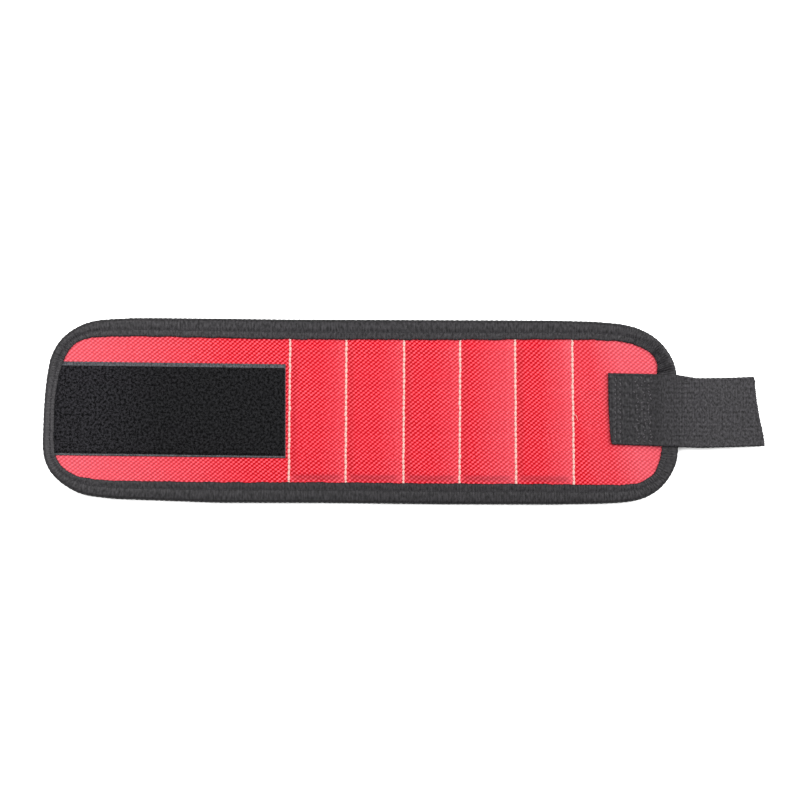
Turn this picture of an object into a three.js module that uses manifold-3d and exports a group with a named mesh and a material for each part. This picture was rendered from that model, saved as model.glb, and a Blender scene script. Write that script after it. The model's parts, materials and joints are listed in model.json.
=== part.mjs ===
// A magnetic wristband for holding screws and bits, laid flat with its outer face up.
// Millimetres. X runs along the band, from the loop pad to the strap, and Z points up.
// The origin is at the middle of the underside of the whole band, strap included.
// The cloth, the lining, the binding and the loop pad run through from end to end on the real band.
// Here they are cut across at the lines where the band flexes, so that each stretch can turn on the next.
import * as THREE from 'three';
import { mergeVertices } from 'three/addons/utils/BufferGeometryUtils.js';
import Module from 'manifold-3d';

// The band, from its loop end to the tip of its strap
const loop_panel_length = 119.4;
const loop_link_count = 3;
const pocket_pitch = 27.6;
const pocket_count = 5;
const strap_panel_length = 50;
const strap_free_length = 42.6;
const band_width = 89;
const corner_radius = 29;

// Layers, from the skin outwards
const lining_thickness = 1.7;
const cloth_thickness = 0.6;
const layer_gap = 0.1;
const seat_gap = 0.3;

// Binding tape, folded over the edge of all layers
const binding_thickness = 0.7;
const binding_width = 9.2;
const binding_loop_end_width = 5.8;
const binding_strap_end_width = 8.2;
const binding_inner_radius = 20;
const binding_fold_radius = 1.1;

// Magnets, in a row down the sewn channel of each pocket: as many as fit with a gap between them
const magnet_diameter = 18;
const magnet_thickness = 2;
const magnet_edge_round = 0.3;
const magnet_seat_depth = 0.5;
const magnet_end_margin = 4.3;
const magnet_least_gap = 3.5;

// Pocket cloth over the magnets
const pocket_dome = 0.35;
const pocket_shoulder_steps = 3;
const pocket_crown_steps = 4;

// Loop pad: a woven tape with a selvedge along each long edge and a field of pile between them
const loop_pad_width = 45.6;
const loop_pad_setback = 1.4;
const loop_tape_thickness = 0.6;
const loop_pile_height = 0.9;
const loop_selvedge_width = 1;
const loop_pile_round = 0.4;

// Strap: hook tape with its woven back up, sewn to the band and free past the binding
const strap_width = 34;
const strap_thickness = 1.4;
const strap_sewn_length = 33;
const strap_step_length = 1.6;
const strap_droop = 2.6;
const strap_end_skew = 4;
const strap_knuckle_gap = 0.2;
const strap_profile_steps = 10;

// Flex lines: the gap between two stretches at the underside, and how much it widens upwards
const flex_gap = 0.6;
const flex_relief_angle = THREE.MathUtils.degToRad(6);
const strap_base_to_flex = 0.8;

const cut_overrun = 5;
const corner_steps = 6;
const fold_steps = 3;
const round_steps = 24;

// Places along the band
const body_length = loop_panel_length + pocket_count * pocket_pitch + strap_panel_length;
const overall_length = body_length + strap_free_length;
const loop_end_x = -overall_length / 2;
const pockets_start_x = loop_end_x + loop_panel_length;
const pockets_end_x = pockets_start_x + pocket_count * pocket_pitch;
const body_end_x = loop_end_x + body_length;
const strap_base_x = body_end_x - strap_sewn_length;
const strap_tip_x = body_end_x + strap_free_length;
const loop_link_length = loop_panel_length / loop_link_count;
const half_width = band_width / 2;
const half_window = half_width - binding_width;
const half_pitch = pocket_pitch / 2;
const half_magnet_row = half_window - magnet_end_margin;
const magnet_count = Math.floor((2 * half_magnet_row + magnet_least_gap) / (magnet_diameter + magnet_least_gap));
const magnet_pitch = (2 * half_magnet_row - magnet_diameter) / (magnet_count - 1);

// Heights of the layers over the underside
const lining_top = lining_thickness;
const lining_edge_bottom = binding_thickness + layer_gap;
const cloth_bottom = lining_top + layer_gap;
const cloth_top = cloth_bottom + cloth_thickness;
const binding_slot_top = cloth_top + layer_gap;
const binding_top = binding_slot_top + binding_thickness;
const magnet_bottom = lining_top - magnet_seat_depth;
const magnet_top = magnet_bottom + magnet_thickness;
const pad_bottom = cloth_top + layer_gap;
const strap_base_bottom = cloth_top + layer_gap;
const strap_over_binding = binding_top + layer_gap;

const wasm = await Module();
wasm.setup();

// Turns a closed three.js geometry into a solid that can be cut and joined.
function solidOf(geometry) {
  const bare = geometry.clone();
  bare.deleteAttribute('normal');
  bare.deleteAttribute('uv');
  const welded = mergeVertices(bare);
  const vertProperties = new Float32Array(welded.attributes.position.array);
  const triVerts = new Uint32Array(welded.index.array);
  return new wasm.Manifold(new wasm.Mesh({ numProp: 3, vertProperties, triVerts }));
}

// Turns a solid back into a named three.js mesh.
function meshOf(name, solid, material) {
  const { vertProperties, triVerts } = solid.getMesh();
  const geometry = new THREE.BufferGeometry();
  geometry.setAttribute('position', new THREE.BufferAttribute(new Float32Array(vertProperties), 3));
  geometry.setIndex(new THREE.BufferAttribute(new Uint32Array(triVerts), 1));
  geometry.computeVertexNormals();
  const mesh = new THREE.Mesh(geometry, material.clone());
  mesh.name = name;
  return mesh;
}

// A plate cut to an outline that lies flat, from one height to another.
function plate(outline, bottom, top) {
  const geometry = new THREE.ExtrudeGeometry(outline, {
    depth: top - bottom,
    bevelEnabled: false,
    curveSegments: corner_steps,
  });
  return solidOf(geometry.translate(0, 0, bottom));
}

// A bar with a section drawn in X and Z, running across the band.
function crossBar(section, half_length) {
  const geometry = new THREE.ExtrudeGeometry(section, { depth: 2 * half_length, bevelEnabled: false });
  return solidOf(geometry.rotateX(Math.PI / 2).translate(0, half_length, 0));
}

// A bar with a section drawn in Y and Z, running along the band.
function longBar(section, from_x, to_x) {
  const geometry = new THREE.ExtrudeGeometry(section, { depth: to_x - from_x, bevelEnabled: false });
  geometry.rotateX(Math.PI / 2).rotateZ(Math.PI / 2);
  return solidOf(geometry.translate(from_x, 0, 0));
}

function shapeOf(points) {
  return new THREE.Shape(points.map(([x, y]) => new THREE.Vector2(x, y)));
}

function roundedRectangle(from_x, to_x, half_y, radius) {
  const shape = new THREE.Shape();
  shape.moveTo(from_x + radius, -half_y);
  shape.lineTo(to_x - radius, -half_y);
  shape.absarc(to_x - radius, -half_y + radius, radius, -Math.PI / 2, 0);
  shape.lineTo(to_x, half_y - radius);
  shape.absarc(to_x - radius, half_y - radius, radius, 0, Math.PI / 2);
  shape.lineTo(from_x + radius, half_y);
  shape.absarc(from_x + radius, half_y - radius, radius, Math.PI / 2, Math.PI);
  shape.lineTo(from_x, -half_y + radius);
  shape.absarc(from_x + radius, -half_y + radius, radius, Math.PI, 1.5 * Math.PI);
  return shape;
}

// The band's outline, drawn in by some distance all round.
function bandOutline(inset) {
  return roundedRectangle(loop_end_x + inset, body_end_x - inset, half_width - inset, corner_radius - inset);
}

// The window that the binding leaves open, drawn in by some distance all round.
function windowOutline(inset) {
  return roundedRectangle(
    loop_end_x + binding_loop_end_width + inset,
    body_end_x - binding_strap_end_width - inset,
    half_window - inset,
    binding_inner_radius - inset,
  );
}

// The space of one stretch of the band between its two flex lines. Its ends lean back from the
// flex lines, so that the band can also bend a little the other way.
function stretchSpace(stretch) {
  const height = binding_top + strap_thickness + cut_overrun;
  const half_gap = flex_gap / 2;
  const lean = Math.tan(flex_relief_angle);
  const from_bottom = stretch.opens_left ? stretch.from_x - cut_overrun : stretch.from_x + half_gap;
  const to_bottom = stretch.opens_right ? stretch.to_x + cut_overrun : stretch.to_x - half_gap;
  const from_top = stretch.opens_left ? from_bottom : from_bottom + height * lean;
  const to_top = stretch.opens_right ? to_bottom : to_bottom - height * lean;
  const section = shapeOf([[from_bottom, 0], [to_bottom, 0], [to_top, height], [from_top, height]]);
  return crossBar(section, half_width + cut_overrun);
}

// The upper or the lower half of the band.
function halfSpace(side) {
  const height = binding_top + cut_overrun;
  const edge_y = half_width + cut_overrun;
  const low_y = side === 'upper' ? 0 : -edge_y;
  const high_y = side === 'upper' ? edge_y : 0;
  const section = shapeOf([[low_y, -cut_overrun], [high_y, -cut_overrun], [high_y, height], [low_y, height]]);
  return longBar(section, loop_end_x - cut_overrun, strap_tip_x + cut_overrun);
}

// The lining lies on the skin, and is thinner at its edge, where the binding folds under it.
function wholeLining() {
  const edge = plate(bandOutline(binding_thickness + layer_gap), lining_edge_bottom, lining_top);
  const middle = plate(windowOutline(seat_gap), 0, lining_top);
  return edge.add(middle);
}

function wholeCloth() {
  return plate(bandOutline(binding_thickness + layer_gap), cloth_bottom, cloth_top);
}

// The binding is one tape with a round fold outside and a slot that holds the layers.
function wholeBinding() {
  const folded = new THREE.ExtrudeGeometry(bandOutline(0), {
    depth: binding_top - 2 * binding_fold_radius,
    bevelThickness: binding_fold_radius,
    bevelSize: binding_fold_radius,
    bevelOffset: -binding_fold_radius,
    bevelSegments: fold_steps,
    curveSegments: corner_steps,
  });
  const outside = solidOf(folded.translate(0, 0, binding_fold_radius));
  const slot = plate(bandOutline(binding_thickness), binding_thickness, binding_slot_top);
  const opening = plate(windowOutline(0), -cut_overrun, binding_top + cut_overrun);
  return outside.subtract(slot).subtract(opening);
}

function easeShare(share) {
  const held = THREE.MathUtils.clamp(share, 0, 1);
  return held * held * (3 - 2 * held);
}

// How high the pocket cloth stands over the seams at a place in the pocket, measured from its middle.
function pocketRise(x, y) {
  const clear_rise = magnet_top + seat_gap - cloth_bottom;
  const side_shoulder = half_pitch - flex_gap / 2 - magnet_diameter / 2 - seat_gap;
  const end_shoulder = half_window - half_magnet_row - seat_gap;
  const side_share = easeShare((half_pitch - flex_gap / 2 - Math.abs(x)) / side_shoulder);
  const end_share = easeShare((half_window - Math.abs(y)) / end_shoulder);
  const dome_share = Math.cos((Math.PI / 2) * (x / half_pitch)) * Math.cos((Math.PI / 2) * (y / half_width));
  return side_share * end_share * (clear_rise + pocket_dome * dome_share);
}

// Places across a pocket where its cloth bends: close together on the shoulders, wide on the crown.
function shoulderedPlaces(edge, shoulder_start, shoulder_end, crown_steps) {
  const outer = [];
  for (let step = 0; step <= pocket_shoulder_steps; step += 1) {
    outer.push(THREE.MathUtils.lerp(shoulder_start, shoulder_end, step / pocket_shoulder_steps));
  }
  const crown = [];
  for (let step = 1; step < crown_steps; step += 1) {
    crown.push(THREE.MathUtils.lerp(-shoulder_end, shoulder_end, step / crown_steps));
  }
  const low = outer.map((place) => -place);
  return [-edge, ...low, ...crown, ...outer.reverse(), edge];
}

// A sheet of pocket cloth with its crown, as one closed solid over a grid of places.
function crownedSheet(x_places, y_places, middle_x) {
  const positions = [];
  const indices = [];
  const columns = x_places.length;
  const rows = y_places.length;
  for (const base of [cloth_bottom, cloth_top]) {
    for (const y of y_places) {
      for (const x of x_places) {
        positions.push(middle_x + x, y, base + pocketRise(x, y));
      }
    }
  }
  const at = (layer, row, column) => layer * rows * columns + row * columns + column;
  const quad = (a, b, c, d) => indices.push(a, b, c, a, c, d);
  for (let row = 0; row < rows - 1; row += 1) {
    for (let column = 0; column < columns - 1; column += 1) {
      quad(at(1, row, column), at(1, row, column + 1), at(1, row + 1, column + 1), at(1, row + 1, column));
      quad(at(0, row, column), at(0, row + 1, column), at(0, row + 1, column + 1), at(0, row, column + 1));
    }
  }
  for (let row = 0; row < rows - 1; row += 1) {
    quad(at(0, row, 0), at(1, row, 0), at(1, row + 1, 0), at(0, row + 1, 0));
    quad(at(0, row, columns - 1), at(0, row + 1, columns - 1), at(1, row + 1, columns - 1), at(1, row, columns - 1));
  }
  for (let column = 0; column < columns - 1; column += 1) {
    quad(at(0, 0, column), at(0, 0, column + 1), at(1, 0, column + 1), at(1, 0, column));
    quad(at(0, rows - 1, column), at(1, rows - 1, column), at(1, rows - 1, column + 1), at(0, rows - 1, column + 1));
  }
  const geometry = new THREE.BufferGeometry();
  geometry.setAttribute('position', new THREE.Float32BufferAttribute(positions, 3));
  geometry.setIndex(indices);
  return solidOf(geometry);
}

function pocketCloth(middle_x) {
  const side_start = half_pitch - flex_gap / 2;
  const side_end = magnet_diameter / 2 + seat_gap;
  const cloth_edge = half_width - binding_thickness - layer_gap;
  const x_places = shoulderedPlaces(half_pitch, side_start, side_end, pocket_crown_steps);
  const end_start = half_magnet_row + seat_gap;
  const y_places = shoulderedPlaces(cloth_edge, half_window, end_start, 2 * pocket_crown_steps);
  return crownedSheet(x_places, y_places, middle_x);
}

// A disc magnet with rounded edges.
function magnet(x, y) {
  const radius = magnet_diameter / 2;
  const profile = [
    [0, 0],
    [radius - magnet_edge_round, 0],
    [radius, magnet_edge_round],
    [radius, magnet_thickness - magnet_edge_round],
    [radius - magnet_edge_round, magnet_thickness],
    [0, magnet_thickness],
  ].map(([r, z]) => new THREE.Vector2(r, z));
  const geometry = new THREE.LatheGeometry(profile, round_steps);
  return solidOf(geometry.rotateX(Math.PI / 2).translate(x, y, magnet_bottom));
}

// The round hollow that a magnet presses into the lining.
function magnetSeat(x, y) {
  const depth = magnet_seat_depth + cut_overrun;
  const geometry = new THREE.CylinderGeometry(
    magnet_diameter / 2 + seat_gap, magnet_diameter / 2 + seat_gap, depth, round_steps,
  );
  return solidOf(geometry.rotateX(Math.PI / 2).translate(x, y, magnet_bottom + depth / 2));
}

// The loop pad's left end is cut to the binding, and its right end stops short of the first seam.
function wholeLoopPad() {
  const half_pad = loop_pad_width / 2;
  const half_pile = half_pad - loop_selvedge_width;
  const tape_top = pad_bottom + loop_tape_thickness;
  const pile_top = tape_top + loop_pile_height;
  const section = shapeOf([
    [-half_pad, pad_bottom],
    [half_pad, pad_bottom],
    [half_pad, tape_top],
    [half_pile, tape_top],
    [half_pile, pile_top - loop_pile_round],
    [half_pile - loop_pile_round, pile_top],
    [-half_pile + loop_pile_round, pile_top],
    [-half_pile, pile_top - loop_pile_round],
    [-half_pile, tape_top],
    [-half_pad, tape_top],
  ]);
  const strip = longBar(section, loop_end_x, pockets_start_x - loop_pad_setback);
  return strip.intersect(plate(windowOutline(seat_gap), 0, pile_top + cut_overrun));
}

// Where the strap turns on the band: just past the fold of the binding, at half the strap's thickness.
const strap_flex_x = body_end_x + strap_thickness / 2 + strap_knuckle_gap;
const strap_flex_z = strap_over_binding + strap_thickness / 2;

// The sewn end of the strap lies on the cloth and climbs over the binding. Its far end is bevelled,
// so that the free end can peel up past the vertical.
function strapBase() {
  const step_end = body_end_x - binding_strap_end_width - seat_gap;
  const step_start = step_end - strap_step_length;
  const base_end = strap_flex_x - strap_thickness / 2 - seat_gap;
  const underside = [
    [strap_base_x, strap_base_bottom],
    [step_start, strap_base_bottom],
    [step_end, strap_over_binding],
    [base_end, strap_over_binding],
  ];
  const relief = strap_thickness / 2;
  const upside = [
    [base_end, strap_flex_z],
    [base_end - relief, strap_flex_z + relief],
    [step_end, strap_over_binding + strap_thickness],
    [step_start, strap_base_bottom + strap_thickness],
    [strap_base_x, strap_base_bottom + strap_thickness],
  ];
  return crossBar(shapeOf([...underside, ...upside]), strap_width / 2);
}

// The free end of the strap droops from its round knuckle to the surface that the band lies on,
// and its tip is cut at a slant.
function strapTail() {
  const half_thickness = strap_thickness / 2;
  const run = strap_tip_x - strap_flex_x;
  const middle = [];
  for (let step = 0; step <= strap_profile_steps; step += 1) {
    const share = step / strap_profile_steps;
    middle.push([strap_flex_x + run * share, strap_flex_z - strap_droop * easeShare(share)]);
  }
  const upside = middle.map(([x, z]) => [x, z + half_thickness]);
  const underside = middle.map(([x, z]) => [x, z - half_thickness]).reverse();
  const knuckle = [];
  for (let step = 1; step < 2 * fold_steps; step += 1) {
    const turn = -Math.PI / 2 - (Math.PI * step) / (2 * fold_steps);
    knuckle.push([strap_flex_x + half_thickness * Math.cos(turn), strap_flex_z + half_thickness * Math.sin(turn)]);
  }
  const tape = crossBar(shapeOf([...upside, ...underside, ...knuckle]), strap_width / 2);
  const half_strap = strap_width / 2;
  const slant = shapeOf([
    [strap_flex_x - cut_overrun, -half_strap],
    [strap_tip_x, -half_strap],
    [strap_tip_x - strap_end_skew, half_strap],
    [strap_flex_x - cut_overrun, half_strap],
  ]);
  return tape.intersect(plate(slant, -cut_overrun, strap_flex_z + strap_thickness + cut_overrun));
}

const finish = {
  cloth: new THREE.MeshStandardMaterial({ color: 0xe21f35, roughness: 0.75, metalness: 0 }),
  lining: new THREE.MeshStandardMaterial({ color: 0x26272a, roughness: 0.9, metalness: 0 }),
  binding: new THREE.MeshStandardMaterial({ color: 0x3c3b3e, roughness: 0.85, metalness: 0 }),
  pile: new THREE.MeshStandardMaterial({ color: 0x1d1e1f, roughness: 0.95, metalness: 0 }),
  strap: new THREE.MeshStandardMaterial({ color: 0x3a393c, roughness: 0.8, metalness: 0 }),
  magnet: new THREE.MeshStandardMaterial({ color: 0xb9bcc0, roughness: 0.3, metalness: 1 }),
};

const wristband = new THREE.Group();
const lining = wholeLining();
const cloth = wholeCloth();
const binding = wholeBinding();
const loop_pad = wholeLoopPad();

function addBindingPair(label, space) {
  for (const side of ['upper', 'lower']) {
    const edge = binding.intersect(space).intersect(halfSpace(side));
    wristband.add(meshOf(`binding_${label}_${side}`, edge, finish.binding));
  }
}

function addPanelLayers(label, space) {
  wristband.add(meshOf(`lining_${label}`, lining.intersect(space), finish.lining));
  wristband.add(meshOf(`face_cloth_${label}`, cloth.intersect(space), finish.cloth));
}

// The end with the loop pad, in stretches that follow the bend round the arm
function addLoopPanel() {
  for (let index = 0; index < loop_link_count; index += 1) {
    const from_x = loop_end_x + index * loop_link_length;
    const space = stretchSpace({ from_x, to_x: from_x + loop_link_length, opens_left: index === 0 });
    const label = `loop_${index + 1}`;
    addPanelLayers(label, space);
    wristband.add(meshOf(`loop_pad_${index + 1}`, loop_pad.intersect(space), finish.pile));
    if (index === 0) {
      wristband.add(meshOf('binding_loop_end', binding.intersect(space), finish.binding));
    } else {
      addBindingPair(label, space);
    }
  }
}

// A sewn pocket: its cloth stands over three magnets, which sit in hollows of the lining.
function addPocket(index) {
  const from_x = pockets_start_x + index * pocket_pitch;
  const middle_x = from_x + pocket_pitch / 2;
  const space = stretchSpace({ from_x, to_x: from_x + pocket_pitch });
  const label = `pocket_${index + 1}`;
  let seated_lining = lining.intersect(space);
  for (let place = 0; place < magnet_count; place += 1) {
    const y = ((magnet_count - 1) / 2 - place) * magnet_pitch;
    seated_lining = seated_lining.subtract(magnetSeat(middle_x, y));
    wristband.add(meshOf(`magnet_${index + 1}_${place + 1}`, magnet(middle_x, y), finish.magnet));
  }
  wristband.add(meshOf(`lining_${label}`, seated_lining, finish.lining));
  wristband.add(meshOf(`face_cloth_${label}`, pocketCloth(middle_x).intersect(space), finish.cloth));
  addBindingPair(label, space);
}

// The end with the strap, in a short stretch and one that the strap is sewn to
function addStrapPanel() {
  const flex_x = strap_base_x - strap_base_to_flex;
  const short_space = stretchSpace({ from_x: pockets_end_x, to_x: flex_x });
  addPanelLayers('strap_1', short_space);
  addBindingPair('strap_1', short_space);
  const end_space = stretchSpace({ from_x: flex_x, to_x: body_end_x, opens_right: true });
  addPanelLayers('strap_2', end_space);
  wristband.add(meshOf('binding_strap_end', binding.intersect(end_space), finish.binding));
  wristband.add(meshOf('strap_base', strapBase(), finish.strap));
  wristband.add(meshOf('strap_tail', strapTail(), finish.strap));
}

addLoopPanel();
for (let index = 0; index < pocket_count; index += 1) {
  addPocket(index);
}
addStrapPanel();

export default wristband;
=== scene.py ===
"""The looks of a magnetic wristband, laid flat with its outer face up: red woven cloth with five magnet
pockets, a bound edge, a loop pad and a hook strap.

Shapes are worked out in millimetres in the frame of the solids: X runs from the loop pad to the strap,
Y across the band, and Z points up. make_piece turns them into metres.
"""

import math

import bpy
import numpy as np
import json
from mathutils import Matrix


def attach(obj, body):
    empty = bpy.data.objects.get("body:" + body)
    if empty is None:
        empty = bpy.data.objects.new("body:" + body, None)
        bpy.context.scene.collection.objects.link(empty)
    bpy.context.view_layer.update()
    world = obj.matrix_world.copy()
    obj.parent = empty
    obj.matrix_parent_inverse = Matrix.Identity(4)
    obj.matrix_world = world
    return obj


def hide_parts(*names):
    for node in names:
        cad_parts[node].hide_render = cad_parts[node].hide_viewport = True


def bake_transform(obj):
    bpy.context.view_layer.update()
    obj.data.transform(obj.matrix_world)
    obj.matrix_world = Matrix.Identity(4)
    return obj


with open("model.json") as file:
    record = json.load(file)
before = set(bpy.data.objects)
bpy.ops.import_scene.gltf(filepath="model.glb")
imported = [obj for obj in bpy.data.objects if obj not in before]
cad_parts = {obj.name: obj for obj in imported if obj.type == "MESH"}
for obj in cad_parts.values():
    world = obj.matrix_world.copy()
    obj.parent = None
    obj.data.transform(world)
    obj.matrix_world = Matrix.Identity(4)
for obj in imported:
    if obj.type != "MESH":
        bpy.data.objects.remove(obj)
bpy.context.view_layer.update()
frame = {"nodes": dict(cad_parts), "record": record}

MM = 0.001
THREAD_MAP = "thread_mm"  # every piece's own map, in millimetres along and across its threads
THREAD_SHIFT = 3.7  # how far each sewing thread's twist starts from that of the thread before it
ALONG, ACROSS = (1.0, 0.0, 0.0), (0.0, 1.0, 0.0)
rng = np.random.default_rng(15)

# Flex lines: left body, right body, where the line runs, and how far the bend reaches to each side
FLEX_LINES = [
    ("loop_1", "loop_2", -135.2, 6.0, 6.0),
    ("loop_2", "loop_3", -95.4, 6.0, 6.0),
    ("loop_3", "pocket_1", -55.6, 4.5, 4.5),
    ("pocket_1", "pocket_2", -28.0, 4.5, 4.5),
    ("pocket_2", "pocket_3", -0.4, 4.5, 4.5),
    ("pocket_3", "pocket_4", 27.2, 4.5, 4.5),
    ("pocket_4", "pocket_5", 54.8, 4.5, 4.5),
    ("pocket_5", "strap_panel_1", 82.4, 4.5, 4.5),
    ("strap_panel_1", "strap_panel_2", 98.6, 5.0, 0.8),
]
# Where a layer passes from the piece at one flex line to the piece at the next
CUTS = np.array([-115.3, -75.5, -41.8, -14.2, 13.4, 41.0, 68.6, 90.5])

# The band's edge, clockwise from the middle of the loop end: x, y, and how wide the binding shows
BAND_EDGE = [
    (-174.8, -10.0, 5.4), (-174.5, -1.0, 5.3), (-173.9, 8.0, 5.2), (-173.1, 15.5, 5.6),
    (-171.4, 25.2, 6.5), (-169.2, 30.3, 6.4), (-166.0, 35.0, 6.3), (-161.6, 38.7, 6.3),
    (-156.8, 41.5, 7.0), (-151.7, 43.35, 7.9), (-146.2, 44.25, 8.2), (-132.0, 45.0, 8.9),
    (-118.0, 45.0, 8.9), (-98.0, 44.8, 9.3), (-56.0, 44.3, 9.6), (20.0, 44.0, 9.6),
    (70.0, 43.8, 9.2), (92.0, 43.3, 8.8), (105.0, 42.2, 8.5), (112.6, 40.5, 8.0),
    (117.3, 38.45, 7.7), (121.5, 36.0, 7.6), (125.4, 32.6, 7.1), (128.5, 28.6, 7.0),
    (130.6, 24.9, 8.2), (132.2, 20.1, 9.6), (133.0, 10.0, 8.6), (133.3, -8.0, 8.1),
    (133.2, -18.2, 7.9), (132.6, -24.7, 8.2), (130.4, -29.9, 7.6), (127.4, -34.6, 7.3),
    (123.4, -38.6, 7.5), (118.7, -41.5, 7.6), (113.5, -43.3, 8.3), (107.0, -44.3, 8.5),
    (96.0, -44.9, 9.1), (72.0, -45.3, 9.9), (20.0, -45.2, 10.1), (-40.0, -44.5, 10.0),
    (-90.0, -44.4, 9.9), (-120.0, -43.3, 9.3), (-140.0, -42.6, 8.8), (-151.6, -41.25, 8.4),
    (-157.0, -40.1, 8.2), (-162.1, -37.55, 6.9), (-167.1, -34.1, 6.4), (-171.3, -29.75, 5.9),
    (-174.1, -24.2, 5.8), (-175.1, -17.5, 5.6),
]
EDGE_SMOOTHING = 2.0
FLOOR_INSET = 1.0  # how far under the band's edge the floor reaches

# The white sky's light on the band, and the overexposed white that the camera sees
SKY, PAPER = 0.29, 2.0

# Seams: x at the upper and at the lower edge of the window
SEAMS = [(-54.9, -55.7), (-27.7, -28.1), (0.3, -0.1), (27.5, 27.2), (54.1, 54.6), (81.8, 82.6)]
SEAM_HALF_LENGTH = 36.0
SEAM_STITCH = 2.6
FIRST_SEAM = 2  # the first seam's flex line

# Face cloth: thread pitch along and across the band, how far it was cut askew, and heights
CLOTH_PITCH_X, CLOTH_PITCH_Y = 1.22, 0.925
CLOTH_SKEW, CLOTH_SKEW_GAIN = -0.185, -0.0003
CLOTH_TOP, CLOTH_THICKNESS = 2.38, 0.5
WEAVE_HEIGHT = 0.07
RIB_SHARE, CROSS_SHARE = 0.59, 0.43
CLOTH_COLUMNS, CLOTH_ROWS = (-304, 238), (-98, 99)  # the grid's half thread pitches, first and last
RIM_Y, RIM_PAINTED_LIGHT = -32.6, 0.065  # the pockets' rim beside the lower binding, and how much paler it is painted, as painted light
POCKET_RISE, POCKET_SHOULDER, POCKET_DOME = 1.45, 4.4, 0.28

# Lining
LINING_STEP, LINING_COLUMNS, LINING_ROWS = 0.6, (-290, 219), (-73, 74)
HOLE_PITCH_X, HOLE_PITCH_Y, HOLE_RADIUS = 3.6, 3.0, 1.25
MAGNET_ROWS_Y = (-22.0, 0.0, 22.0)

# Binding tape. Its ribs are too fine to show, so they are drawn 1.28 mm apart, in five steps of the mesh
RIB_PITCH, RIB_STEPS = 1.28, 5
BINDING_TOP, BINDING_FOLD = 3.2, 1.4
BINDING_STITCH = 2.4
BINDING_FOLD_GIRTH = 6.3  # how far round the tape its outer fold lies, from its upper edge
STITCH_LINE = 0.62  # share of the binding's width, from its outer fold
# The tape's outline: how many places lie on its outer face, and which lie on its upper and lower stitches
OUTER_PLACES, UPPER_STITCH, LOWER_STITCH = 32, 7, 25
# Its pleats grow with the edge's curve, which is measured and smoothed over so many places to each side
CORNER_RADIUS, CURVE_REACH, CURVE_SMOOTHING = 26, 6, 20

# Loop pad
PAD_LEFT, PAD_RIGHT, PAD_HALF_WIDTH, SELVEDGE_WIDTH = -172.0, -57.5, 22.8, 1.75
PAD_TILT = 0.0127
PILE_SHIFT = -0.45  # the upper selvedge is the wider one
PAD_HELD = 2.6  # how far inside the band's edge the pad ends, under the binding
PAD_LINES = range(3)
PAD_BOTTOM, PILE_FOOT, PILE_TOP = 2.5, 3.02, 3.86
PILE_STEP, LOOP_PITCH = 0.38, 1.05
SELVEDGE_RIB, SELVEDGE_COLUMNS = 1.0, 461

# Strap
STRAP_FLEX_X, STRAP_DROOP = 133.3, 2.6
STRAP_WIDTH, STRAP_RUN, STRAP_HALF_THICKNESS = 34.0, 74.0, 0.7
STRAP_RIB, STRAP_ROW, STRAP_COLUMNS = 1.25, 2.3, 289
STRAP_ROWS_X = (102.6, 104.9, 113.4, 116.2, 119.0)
# Its sewn and its free end: shares of the width, and x
STRAP_START = ([0, 0.04, 0.12, 0.5, 1.0], [101.0, 100.5, 100.2, 99.35, 99.1])
STRAP_TIP = ([0, 0.15, 0.35, 0.6, 0.85, 0.96, 1.0], [175.2, 174.5, 173.1, 171.5, 170.5, 170.3, 169.8])
HOOK_PITCH_X, HOOK_PITCH_Y = 1.5, 1.45
FRAYED_ENDS = 60


# Meshes


def ease(share):
    share = np.clip(share, 0.0, 1.0)
    return share * share * (3 - 2 * share)


def rounded(gap, radius):
    """A quarter circle over the gap from an edge: 0 at the edge, and 1 from the radius on."""
    return np.sqrt(np.clip(1 - (1 - np.clip(gap / radius, 0, 1)) ** 2, 0, 1))


def ripple(x, y, size, seed, count=7):
    """Smooth random height from -1 to 1, whose swells are about size wide."""
    draw = np.random.default_rng(seed)
    total = 0.0
    for turn, length, phase in zip(
        draw.uniform(0, math.tau, count), draw.uniform(0.7, 1.4, count), draw.uniform(0, math.tau, count)
    ):
        speed = math.tau / (size * 2 * length)
        total = total + np.sin((x * math.cos(turn) + y * math.sin(turn)) * speed + phase)
    return total / math.sqrt(count * 2)


def make_piece(name, points, faces, places, material):
    """A mesh from points in millimetres, lists of face arrays, and the thread places of their corners."""
    corners = np.concatenate([f.ravel() for f in faces])
    fans = [np.stack([f[:, 0], f[:, i], f[:, i + 1]], 1) for f in faces for i in range(1, f.shape[1] - 1)]
    first, second, third = (points[np.concatenate(fans)[:, i]] for i in range(3))
    if np.einsum("ij,ij->i", first, np.cross(second, third)).sum() < 0:
        faces = [face[:, ::-1] for face in faces]
        places = [place[:, ::-1] for place in places]
        corners = np.concatenate([f.ravel() for f in faces])
    used, index = np.unique(corners, return_inverse=True)
    sizes = np.concatenate([np.full(len(f), f.shape[1]) for f in faces])
    mesh = bpy.data.meshes.new(name)
    mesh.vertices.add(len(used))
    mesh.vertices.foreach_set("co", (points[used] * MM).astype(np.float32).ravel())
    mesh.loops.add(len(index))
    mesh.loops.foreach_set("vertex_index", index.astype(np.int32).ravel())
    mesh.polygons.add(len(sizes))
    mesh.polygons.foreach_set("loop_start", (np.cumsum(sizes) - sizes).astype(np.int32))
    mesh.update(calc_edges=True)
    places = np.concatenate([p.reshape(-1, 2) for p in places]).astype(np.float32)
    mesh.uv_layers.new(name=THREAD_MAP).uv.foreach_set("vector", places.ravel())
    mesh.polygons.foreach_set("use_smooth", np.ones(len(sizes), bool))
    mesh.set_sharp_from_angle(angle=math.radians(65))
    mesh.materials.append(material)
    piece = bpy.data.objects.new(name, mesh)
    bpy.context.scene.collection.objects.link(piece)
    return piece


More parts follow.
